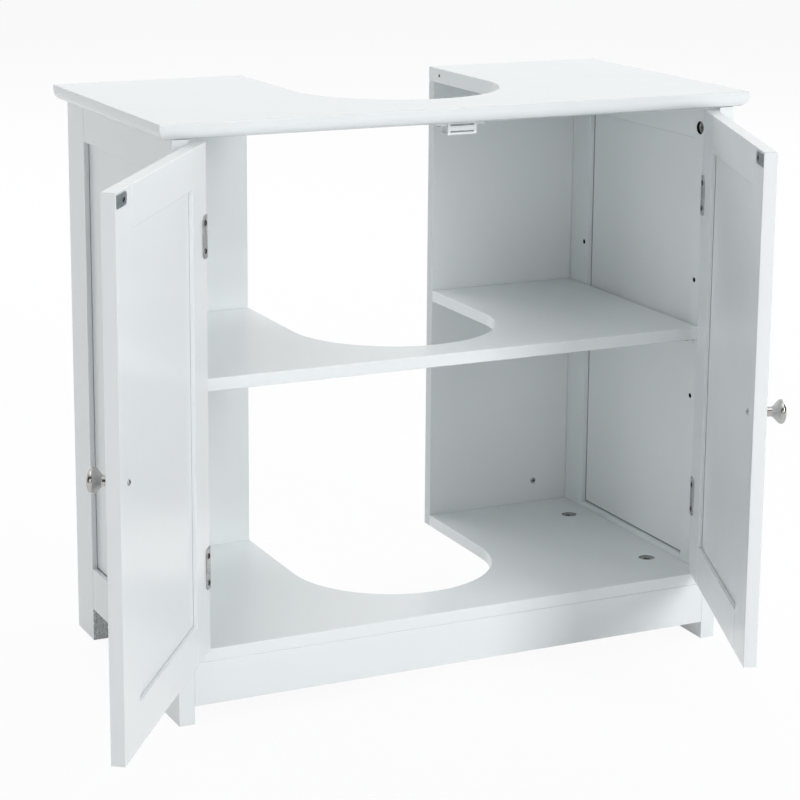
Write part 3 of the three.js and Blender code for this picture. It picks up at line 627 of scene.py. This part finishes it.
def drive_screws(name, body, places, sizes, head=screw_steel, recess=recess_painted_shade):
    """One piece for a body's screws of one kind. Places are (point, axis) pairs."""
    mesh = bpy.data.meshes.new(name + "_points")
    mesh.from_pydata([tuple(point) for point, _ in places], [], [])
    axes = mesh.attributes.new("axis", "FLOAT_VECTOR", "POINT")
    for entry, (_, axis) in zip(axes.data, places):
        entry.vector = axis
    seeds = set_out(name + "_points", mesh)
    modifier = seeds.modifiers.new("screws", "NODES")
    modifier.node_group = screw_tree
    values = {"Head Material": head, "Recess Material": recess, **sizes}
    for item in screw_tree.interface.items_tree:
        if item.in_out == "INPUT" and item.name in values:
            modifier[item.identifier] = values[item.name]
    bpy.context.view_layer.update()
    ready = seeds.evaluated_get(bpy.context.evaluated_depsgraph_get())
    piece = set_out(name, bpy.data.meshes.new_from_object(ready))
    if "axis" in piece.data.attributes:
        piece.data.attributes.remove(piece.data.attributes["axis"])
    seeds.modifiers.remove(modifier)
    bpy.data.objects.remove(seeds)
    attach(piece, body)
    return piece


def door_place(side):
    """From a door drawn shut about its hinge pin to where it stands open at rest."""
    joint = next(j for j in frame["joints"] if j["name"] == f"door_{side}_hinge")
    pin = Vector(joint["pos_m"])
    opening = math.radians(-joint["range_deg"][0]) * SIGN[side]
    return Matrix.Translation((pin.x, pin.y, 0)) @ Matrix.Rotation(opening, 4, "Z")


def on_door(side, across, behind, level):
    """A screw's place on a door's inner face, from the pin's axis with the door shut."""
    place = door_place(side)
    return place @ Vector((-SIGN[side] * across, behind, level)), place.to_3x3() @ Vector((0, 1, 0))


for side in ("left", "right"):
    heights = []
    for level in ("lower", "upper"):
        for part in ("frame_leaf", "door_leaf", "pin"):
            dress(f"hinge_{side}_{level}_{part}", hinge_steel, STRIP_ARRIS)
        leaf_low, leaf_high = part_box(f"hinge_{side}_{level}_frame_leaf")
        middle = (leaf_low.z + leaf_high.z) / 2
        heights += [middle - SCREW_PITCH / 2, middle + SCREW_PITCH / 2]
    drive_screws(f"door_leaf_screws_{side}", f"door_{side}",
                 [on_door(side, DOOR_SCREW_ACROSS, DOOR_SCREW_BEHIND, z) for z in heights],
                 DOOR_LEAF_SCREW)
    leaf_face = (leaf_high.x if side == "right" else leaf_low.x) - SIGN[side] * LEAF_THICK
    on_carcass = [(Vector((leaf_face, leaf_high.y - FRAME_SCREW_INSET, z)),
                   Vector((-SIGN[side], 0, 0))) for z in heights]
    drive_screws(f"frame_leaf_screws_{side}", "carcass", on_carcass,
                 FRAME_LEAF_SCREW)


# ---------------------------------------------------------------- knobs and their screws
# Turned zinc knobs with a polished nickel plate: a small flange on the door, a straight neck and a
# flared head with a domed face. A machine screw holds each one from inside the door.

KNOB_NICKEL = (0.5, 0.495, 0.48, 1)
KNOB_NICKEL_DULL = (0.42, 0.415, 0.4, 1)
BRIGHT_SCREW_STEEL = (0.62, 0.63, 0.63, 1)
KNOB_ACROSS = 0.2455
KNOB_STAND_OFF = 0.0002
KNOB_SCREW_BEHIND = 0.01215
KNOB_SCREW = {"Head Radius": 0.003, "Head Height": 0.0017, "Slot Width": 0.0009}
KNOB_SIDES = 64
KNOB_CURVE_STEPS = 3
KNOB_AXIS_REACH = 0.00002
LATHE_RINGS_PER_METRE = 5200
CLOUDS_PER_METRE = 160
MM = 0.001

# Radius and height above the door in millimetres, from the middle of the flange to the domed tip.
KNOB_PROFILE = (
    (0.0, 0.0), (5.3, 0.0), (5.7, 0.2), (5.7, 0.6), (5.2, 1.1), (4.55, 1.4), (4.45, 2.2),
    (4.45, 5.2), (4.45, 7.6), (4.6, 8.5), (5.5, 10.0), (7.0, 11.4), (8.5, 12.7), (9.85, 14.0),
    (10.75, 15.4), (11.05, 16.8), (10.95, 17.8), (10.0, 19.0), (8.0, 20.0), (5.0, 20.7),
    (2.2, 20.95), (0.0, 21.0),
)


def smoothed(profile):
    """A curve through every point of a profile, in a few steps from each to the next."""
    points = [Vector(point) for point in profile]
    fine = []
    for i in range(len(points) - 1):
        before = points[max(i - 1, 0)]
        start, end = points[i], points[i + 1]
        after = points[min(i + 2, len(points) - 1)]
        for step in range(KNOB_CURVE_STEPS):
            t = step / KNOB_CURVE_STEPS
            spot = 0.5 * (2 * start + (end - before) * t
                          + (2 * before - 5 * start + 4 * end - after) * t * t
                          + (3 * start - before - 3 * end + after) * t ** 3)
            fine.append(Vector((max(spot.x, 0.0), spot.y)))
    return fine + [points[-1]]


def turned(name, profile):
    """A solid turned about +Z from (radius, height) points, closed at a point on the axis."""
    work = bmesh.new()
    rings = []
    angles = [2 * math.pi * k / KNOB_SIDES for k in range(KNOB_SIDES)]
    for spot in smoothed(profile):
        radius, height = spot * MM
        if radius < KNOB_AXIS_REACH:
            rings.append([work.verts.new((0, 0, height))])
        else:
            rings.append([work.verts.new((radius * math.cos(a), radius * math.sin(a), height))
                          for a in angles])
    for lower, upper in zip(rings, rings[1:]):
        for k in range(KNOB_SIDES):
            corners = [lower[k % len(lower)], lower[(k + 1) % len(lower)],
                       upper[(k + 1) % len(upper)], upper[k % len(upper)]]
            distinct = list(dict.fromkeys(corners))
            if len(distinct) > 2:
                work.faces.new(distinct)
    bmesh.ops.recalc_face_normals(work, faces=work.faces)
    mesh = bpy.data.meshes.new(name)
    work.to_mesh(mesh)
    work.free()
    mesh.shade_smooth()
    return mesh


def make_turned_nickel(name, place):
    """Polished plate over lathe rings: fine circles about the knob's own axis, faintly clouded."""
    material, tree, shader = new_material(name)
    where = add_node(tree, "ShaderNodeTexCoord")
    back = place.inverted()
    centred = add_node(tree, "ShaderNodeMapping")
    centred.inputs["Location"].default_value = back.to_translation()
    centred.inputs["Rotation"].default_value = back.to_euler()
    tree.links.new(where.outputs["Object"], centred.inputs["Vector"])
    parts = add_node(tree, "ShaderNodeSeparateXYZ")
    tree.links.new(centred.outputs[0], parts.inputs[0])
    flat = add_node(tree, "ShaderNodeCombineXYZ")
    tree.links.new(parts.outputs["X"], flat.inputs["X"])
    tree.links.new(parts.outputs["Y"], flat.inputs["Y"])
    radius = add_node(tree, "ShaderNodeVectorMath", operation="LENGTH")
    tree.links.new(flat.outputs[0], radius.inputs[0])
    rings = add_node(tree, "ShaderNodeTexNoise", noise_dimensions="1D",
                     Scale=LATHE_RINGS_PER_METRE, Detail=2)
    tree.links.new(radius.outputs["Value"], rings.inputs["W"])
    clouds = add_node(tree, "ShaderNodeTexNoise", Scale=CLOUDS_PER_METRE, Detail=3)
    tree.links.new(where.outputs["Object"], clouds.inputs["Vector"])
    cloud = clouds.outputs["Fac"]
    tree.links.new(blend_colours(tree, remap(tree, cloud, 0.35, 0.7, 0, 1),
                                 KNOB_NICKEL, KNOB_NICKEL_DULL), shader.inputs["Base Color"])
    tree.links.new(remap(tree, cloud, 0.3, 0.7, 0.12, 0.22), shader.inputs["Roughness"])
    raise_relief(tree, rings.outputs["Fac"], 0.25, 0.00001)
    shader.inputs["Metallic"].default_value = 1
    return material


bright_screw_steel = make_metal("bright_screw_steel", BRIGHT_SCREW_STEEL, HINGE_STEEL_DULL,
                                sheen=(0.24, 0.36))

for side in ("left", "right"):
    knob_low, knob_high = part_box(f"knob_{side}")
    level = (knob_low.z + knob_high.z) / 2
    flange = Matrix.Translation((-SIGN[side] * KNOB_ACROSS, -KNOB_STAND_OFF, level))
    place = door_place(side) @ flange @ Matrix.Rotation(math.radians(90), 4, "X")
    mesh = turned(f"turned_knob_{side}", KNOB_PROFILE)
    mesh.transform(place)
    mesh.materials.append(make_turned_nickel(f"turned_nickel_{side}", place))
    knob = set_out(f"turned_knob_{side}", mesh)
    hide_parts(f"knob_{side}")
    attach(knob, f"door_{side}")

    screw = drive_screws(f"knob_screw_head_{side}", f"door_{side}",
                         [on_door(side, KNOB_ACROSS, KNOB_SCREW_BEHIND, level)],
                         KNOB_SCREW, bright_screw_steel, bright_screw_steel)
    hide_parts(f"knob_screw_{side}")


# ---------------------------------------------------------------- magnetic catch
# A moulded white housing screwed under the top by an ear at each end. Two plated pole plates stand
# a little proud of its front, with a ferrite magnet clasped between them.

CATCH_WHITE = (0.815, 0.835, 0.835, 1)
CATCH_WHITE_WORN = (0.77, 0.79, 0.79, 1)
CATCH_ARRIS = 0.0004
FERRITE = (0.035, 0.035, 0.037, 1)
FERRITE_DUSTY = (0.05, 0.048, 0.046, 1)
MAGNET_ARRIS = 0.0002
STRIKE_STEEL = (0.34, 0.385, 0.405, 1)
STRIKE_STEEL_DULL = (0.26, 0.3, 0.315, 1)
POLE_ARRIS = 0.00015
EAR_SCREW_ACROSS = 0.021
EAR_SCREW_BEHIND = 0.006
EAR_THICK = 0.004
EAR_SCREW = {"Head Radius": 0.0028, "Head Height": 0.0012, "Slot Width": 0.0009}
MOULD_GRAIN = 0.0005
MOULD_DRIFT = 0.012


def make_moulding(name, colour, worn, sheen):
    """Moulded plastic or sintered stuff: a fine even grain and a slow change in colour and sheen."""
    material, tree, shader = new_material(name)
    coat = add_node(tree, "ShaderNodeGroup", node_tree=sprayed_coat)
    coat.inputs["Peel Size"].default_value = MOULD_GRAIN
    coat.inputs["Drift Size"].default_value = MOULD_DRIFT
    drift = coat.outputs["Drift"]
    tree.links.new(blend_colours(tree, drift, colour, worn), shader.inputs["Base Color"])
    tree.links.new(remap(tree, drift, 0, 1, *sheen), shader.inputs["Roughness"])
    raise_relief(tree, coat.outputs["Height"], 0.3, 0.00003)
    return material


catch_plastic = make_moulding("catch_plastic", CATCH_WHITE, CATCH_WHITE_WORN, sheen=(0.3, 0.4))
ferrite = make_moulding("ferrite", FERRITE, FERRITE_DUSTY, sheen=(0.6, 0.8))
strike_steel = make_metal("strike_steel", STRIKE_STEEL, STRIKE_STEEL_DULL, sheen=(0.28, 0.42),
                          streak_size=STRIP_STREAK, stretch=STRIP_STRETCH)

dress("catch_body", catch_plastic, CATCH_ARRIS, ARRIS_STEPS)
dress("catch_magnet", ferrite, MAGNET_ARRIS)
for pole in ("catch_pole_upper", "catch_pole_lower"):
    dress(pole, strike_steel, POLE_ARRIS)

catch_low, catch_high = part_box("catch_body")
catch_middle = (catch_low.x + catch_high.x) / 2
drive_screws("catch_screws", "carcass",
             [(Vector((catch_middle + step, catch_low.y + EAR_SCREW_BEHIND, catch_high.z - EAR_THICK)),
               Vector((0, 0, -1))) for step in (-EAR_SCREW_ACROSS, EAR_SCREW_ACROSS)],
             EAR_SCREW)


# ---------------------------------------------------------------- strike plates
# A zinc-plated steel plate on each door's inner face, at the top of the meeting stile, which the
# magnet pulls. One screw holds it, near the plate's square end.

STRIKE_ARRIS = 0.0002
STRIKE_SCREW_ACROSS = 0.2483
STRIKE_SCREW_BEHIND = 0.013
STRIKE_SCREW = {"Head Radius": 0.003, "Head Height": 0.0006, "Slot Width": 0.0012}

for side in ("left", "right"):
    dress(f"strike_plate_{side}", strike_steel, STRIKE_ARRIS)
    plate_low, plate_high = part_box(f"strike_plate_{side}")
    level = (plate_low.z + plate_high.z) / 2
    drive_screws(f"strike_screw_{side}", f"door_{side}",
                 [on_door(side, STRIKE_SCREW_ACROSS, STRIKE_SCREW_BEHIND, level)], STRIKE_SCREW)


# ---------------------------------------------------------------- cam locks, shelf pins, panel screws
# The cabinet comes flat: zinc cam locks pull it together, four in the sides under the top and four
# in the bottom. The shelf lies on plated steel pins. Small screws hold the back panels, and one
# shows in each wall of the top's cut-out.

ZINC = (0.42, 0.42, 0.41, 1)
ZINC_DULL = (0.28, 0.28, 0.275, 1)
PIN_NICKEL = (0.68, 0.69, 0.69, 1)
PIN_NICKEL_DULL = (0.56, 0.57, 0.57, 1)
FITTING_ARRIS = 0.0002
BACK_SCREW_ACROSS = 0.23
BACK_SCREW_LEVEL = 0.0936
BACK_SCREW = {"Head Radius": 0.0032, "Head Height": 0.0012, "Slot Width": 0.001}
CUTOUT_SCREW_BEHIND = 0.126
CUTOUT_SCREW_LEVEL = 0.5448
CUTOUT_SCREW_SUNK = 0.0001
CUTOUT_SCREW = {"Head Radius": 0.0016, "Head Height": 0.0004, "Slot Width": 0.0009}

cam_zinc = make_metal("cam_zinc", ZINC, ZINC_DULL, sheen=(0.32, 0.5),
                      streak_size=0.0007, depth=0.00005)
pin_nickel = make_metal("pin_nickel", PIN_NICKEL, PIN_NICKEL_DULL, sheen=(0.18, 0.3),
                        streak_size=0.0006)

for side in ("left", "right"):
    for end in ("front", "rear"):
        dress(f"cam_lock_top_{side}_{end}", cam_zinc, FITTING_ARRIS)
        dress(f"cam_lock_bottom_{side}_{end}", cam_zinc, FITTING_ARRIS)
        dress(f"shelf_pin_{side}_{end}", pin_nickel, FITTING_ARRIS)

# The back screws' recesses take the darker screw steel: painted shade in the cross.
drive_screws("back_panel_screws", "carcass",
             [(Vector((CARCASS_MIDDLE.x + sign * BACK_SCREW_ACROSS, back_low.y, BACK_SCREW_LEVEL)),
               Vector((0, -1, 0))) for sign in (-1, 1)],
             BACK_SCREW, bright_screw_steel, screw_steel)

cutout_half = back_low.x - CARCASS_MIDDLE.x - CUTOUT_SCREW_SUNK
drive_screws("cutout_screws", "carcass",
             [(CARCASS_MIDDLE + Vector((sign * cutout_half, CUTOUT_SCREW_BEHIND, CUTOUT_SCREW_LEVEL)),
               Vector((-sign, 0, 0))) for sign in (-1, 1)],
             CUTOUT_SCREW)


# ---------------------------------------------------------------- floor and backdrop
# A pale studio floor that runs out of sight and a white room, both seen white by the camera while
# the floor is still shaded under the cabinet. A dark cloth hangs behind the camera; it only shows
# where something glossy mirrors it.

FLOOR_PALE = (0.86, 0.865, 0.87, 1)
FLOOR_ROUGHNESS = 0.9
FLOOR_WHITE_SHARE = 0.93
FLOOR_REACH = 30
WHITE = (1, 1, 1, 1)
ROOM_TINT = (0.93, 0.98, 1, 1)
ROOM_LIGHT = 0.22
CLOTH_DARK = (0.1, 0.1, 0.105, 1)
CLOTH_ROUGHNESS = 0.95
CLOTH_DISTANCE = 6
CLOTH_HEIGHTS = (0.02, 6)
CLOTH_HALF_TURN = 100
CLOTH_STEP = 10


def show_white(tree, plain, white, share, output):
    """Shows a shader's white form, by this share, to the camera, in mirrors and through glass."""
    rays = add_node(tree, "ShaderNodeLightPath")
    seen = rays.outputs["Is Camera Ray"]
    for kind in ("Is Glossy Ray", "Is Transmission Ray"):
        either = add_node(tree, "ShaderNodeMath", operation="MAXIMUM")
        tree.links.new(seen, either.inputs[0])
        tree.links.new(rays.outputs[kind], either.inputs[1])
        seen = either.outputs[0]
    part = add_node(tree, "ShaderNodeMath", operation="MULTIPLY")
    part.inputs[1].default_value = share
    tree.links.new(seen, part.inputs[0])
    mixed = add_node(tree, "ShaderNodeMixShader")
    tree.links.new(part.outputs[0], mixed.inputs[0])
    tree.links.new(plain, mixed.inputs[1])
    tree.links.new(white, mixed.inputs[2])
    tree.links.new(mixed.outputs["Shader"], tree.nodes[output].inputs["Surface"])


floor_mesh = bpy.data.meshes.new("studio_floor")
floor_mesh.from_pydata([(x * FLOOR_REACH, y * FLOOR_REACH, 0)
                        for x, y in ((-1, -1), (1, -1), (1, 1), (-1, 1))], [], [(0, 1, 2, 3)])
floor = set_out("studio_floor", floor_mesh)
floor_material, tree, shader = new_material("studio_floor")
shader.inputs["Base Color"].default_value = FLOOR_PALE
shader.inputs["Roughness"].default_value = FLOOR_ROUGHNESS
white_floor = add_node(tree, "ShaderNodeEmission", Color=WHITE, Strength=1.0)
show_white(tree, shader.outputs["BSDF"], white_floor.outputs["Emission"], FLOOR_WHITE_SHARE,
           "Material Output")
floor_mesh.materials.append(floor_material)

turns = [math.radians(turn) for turn in range(-CLOTH_HALF_TURN, CLOTH_HALF_TURN + 1, CLOTH_STEP)]
cloth_mesh = bpy.data.meshes.new("dark_cloth")
cloth_mesh.from_pydata(
    [(CLOTH_DISTANCE * math.sin(turn), -CLOTH_DISTANCE * math.cos(turn), height)
     for height in CLOTH_HEIGHTS for turn in turns],
    [],
    [(k, k + 1, len(turns) + k + 1, len(turns) + k) for k in range(len(turns) - 1)],
)
cloth = set_out("dark_cloth", cloth_mesh)
cloth.visible_camera = False
cloth.visible_diffuse = False
cloth.visible_shadow = False
cloth_material, tree, shader = new_material("dark_cloth")
shader.inputs["Base Color"].default_value = CLOTH_DARK
shader.inputs["Roughness"].default_value = CLOTH_ROUGHNESS
cloth_mesh.materials.append(cloth_material)

world = bpy.data.worlds.new("studio")
bpy.context.scene.world = world
world.use_nodes = True
tree = world.node_tree
room = tree.nodes["Background"]
room.inputs["Color"].default_value = ROOM_TINT
room.inputs["Strength"].default_value = ROOM_LIGHT
backdrop = add_node(tree, "ShaderNodeBackground", Color=WHITE, Strength=1.0)
show_white(tree, room.outputs["Background"], backdrop.outputs["Background"], 1, "World Output")


# ---------------------------------------------------------------- light
# A tall soft window of light stands in front, a little to the right; wide pale screens light the
# cabinet from behind and from the right, and one hangs over the front. The two behind don't show
# in the satin top, or they would burn it out from the front.

LAMP_DISTANCE = 4.2
LAMP_AIM = CARCASS_MIDDLE + Vector((0, -0.05, 0.27))

# Name, bearing round the cabinet from its front and height in degrees, width and height in metres,
# watts, and whether it shows in glossy faces.
LAMPS = (
    ("key_front", 18, 25, (1.25, 2.2), 81, True),
    ("front_left", -20, 12, (3, 1.6), 18, True),
    ("screen_right", 110, 18, (2.2, 2.2), 66, True),
    ("screen_rear", 180, 40, (3, 3), 74, False),
    ("screen_rear_left", -140, 20, (3, 3), 40, False),
    ("overhead", 0, 72, (3, 3), 27, True),
)

for name, bearing, height, (wide, high), watts, mirrored in LAMPS:
    across, up = math.radians(bearing), math.radians(height)
    towards = Vector((math.sin(across) * math.cos(up), -math.cos(across) * math.cos(up), math.sin(up)))
    lamp = bpy.data.lights.new(name, "AREA")
    lamp.shape = "RECTANGLE"
    lamp.size = wide
    lamp.size_y = high
    lamp.energy = watts
    holder = set_out(name, lamp)
    holder.location = LAMP_AIM + LAMP_DISTANCE * towards
    holder.rotation_euler = (-towards).to_track_quat("-Z", "Y").to_euler()
    holder.visible_camera = False
    holder.visible_glossy = mirrored


# ---------------------------------------------------------------- camera
# It stands to the left of the cabinet and above it, two and a quarter metres off, looking slightly
# down, with the lens moved up a little to hold the cabinet in the frame.

CAMERA_SPOT = (-0.70258, -2.17562, 0.83881)
CAMERA_YAW = 25.60
CAMERA_PITCH = -12.40
CAMERA_ROLL = 0.46
SENSOR_MM = 36
LENS_PIXELS = 2371.61
FRAME_PIXELS = 800
LENS_CENTRE_DOWN = 304

camera_data = bpy.data.cameras.new("camera")
camera_data.sensor_width = SENSOR_MM
camera_data.lens = LENS_PIXELS * SENSOR_MM / FRAME_PIXELS
camera_data.shift_y = (LENS_CENTRE_DOWN - FRAME_PIXELS / 2) / FRAME_PIXELS
camera = set_out("camera", camera_data)
camera.matrix_world = (
    Matrix.Translation(CAMERA_SPOT)
    @ Matrix.Rotation(math.radians(-CAMERA_YAW), 4, "Z")
    @ Matrix.Rotation(math.radians(90 + CAMERA_PITCH), 4, "X")
    @ Matrix.Rotation(math.radians(CAMERA_ROLL), 4, "Z")
)
bpy.context.scene.camera = camera
bpy.context.scene.view_settings.view_transform = "Standard"
